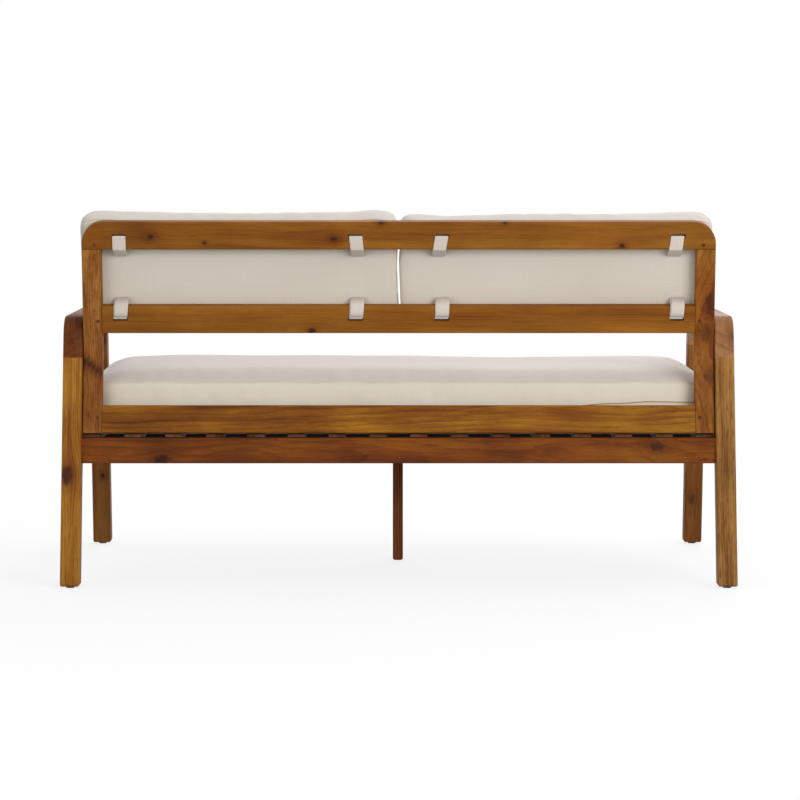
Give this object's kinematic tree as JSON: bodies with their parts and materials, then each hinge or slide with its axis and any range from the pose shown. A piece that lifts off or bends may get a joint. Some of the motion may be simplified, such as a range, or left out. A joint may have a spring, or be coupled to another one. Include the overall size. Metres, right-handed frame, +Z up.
{
  "type": "patio loveseat",
  "caption": "Two-seat wooden garden sofa with splayed legs, level arms, a slatted seat, a railed backrest and loose cushions tied on with straps.",
  "frame": {"origin": "on the floor, under the middle of the sofa", "axes": "+X to the sitter's left along the width, -Y the way a sitter faces, +Z up"},
  "size_m": [1.32, 0.7428, 0.7331],
  "materials": {
    "leg_wood": "oiled hardwood, fine straight grain",
    "arm_wood": "oiled hardwood, straight grain along the arm",
    "corner_wood": "oiled hardwood, darker end blocks",
    "side_rail_wood": "oiled hardwood",
    "seat_rail_wood": "oiled hardwood, reddish",
    "bearer_wood": "oiled hardwood",
    "centre_leg_wood": "oiled hardwood, dark reddish brown",
    "slat_wood": "oiled hardwood, lighter",
    "post_wood": "oiled hardwood",
    "top_rail_wood": "oiled hardwood, golden brown with knots",
    "mid_rail_wood": "oiled hardwood, golden brown",
    "low_rail_wood": "oiled hardwood, golden with dark streaks",
    "pin_wood": "dark end grain",
    "glide_plastic": "black nylon",
    "bolt_steel": "zinc plated",
    "screw_steel": "yellow passivated",
    "spacer_plastic": "black nylon",
    "webbing": "woven polyester tape, cream",
    "cover_fabric": "woven polyester, cream",
    "foam": "open-cell foam",
    "zip_metal": "cream enamel"
  },
  "bodies": {
    "frame": {"rear_leg_left": "leg_wood", "rear_leg_right": "leg_wood", "front_leg_left": "leg_wood", "front_leg_right": "leg_wood", "arm_rail_left": "arm_wood", "arm_rail_right": "arm_wood", "arm_corner_rear_left": "corner_wood", "arm_corner_rear_right": "corner_wood", "arm_corner_front_left": "corner_wood", "arm_corner_front_right": "corner_wood", "side_rail_left": "side_rail_wood", "side_rail_right": "side_rail_wood", "seat_rear_rail": "seat_rail_wood", "seat_front_rail": "seat_rail_wood", "slat_cleat_rear": "bearer_wood", "slat_cleat_front": "bearer_wood", "middle_bearer": "bearer_wood", "centre_leg": "centre_leg_wood", "slat_01": "slat_wood", "slat_02": "slat_wood", "slat_03": "slat_wood", "slat_04": "slat_wood", "slat_05": "slat_wood", "slat_06": "slat_wood", "slat_07": "slat_wood", "slat_08": "slat_wood", "slat_09": "slat_wood", "slat_10": "slat_wood", "slat_11": "slat_wood", "slat_12": "slat_wood", "slat_13": "slat_wood", "slat_14": "slat_wood", "slat_15": "slat_wood", "slat_16": "slat_wood", "back_post_left": "post_wood", "back_post_right": "post_wood", "back_top_rail": "top_rail_wood", "back_mid_rail": "mid_rail_wood", "back_low_rail": "low_rail_wood", "tenon_pins": "pin_wood", "arm_dowels": "pin_wood", "leg_glides": "glide_plastic", "frame_bolts": "bolt_steel", "barrel_nuts": "bolt_steel", "slat_screws": "screw_steel", "cleat_screws": "screw_steel", "back_spacers": "spacer_plastic", "straps_top_left": "webbing", "straps_top_right": "webbing", "straps_mid_left": "webbing", "straps_mid_right": "webbing"},
    "seat_cushion": {"seat_cover": "cover_fabric", "seat_foam": "foam"},
    "back_cushion_left": {"back_cover_left": "cover_fabric", "back_foam_left": "foam", "zip_pull_left": "zip_metal"},
    "back_cushion_right": {"back_cover_right": "cover_fabric", "back_foam_right": "foam", "zip_pull_right": "zip_metal"}
  },
  "joints": [
    {"name": "seat_cushion_lift_off", "type": "slide", "parent": "frame", "child": "seat_cushion", "axis": [0, -1, 0], "range_m": [0, 0.65]},
    {"name": "back_cushion_left_lift_off", "type": "slide", "parent": "frame", "child": "back_cushion_left", "axis": [0, -0.9863, 0.165], "range_m": [0, 0.25]},
    {"name": "back_cushion_right_lift_off", "type": "slide", "parent": "frame", "child": "back_cushion_right", "axis": [0, -0.9863, 0.165], "range_m": [0, 0.25]}
  ]
}
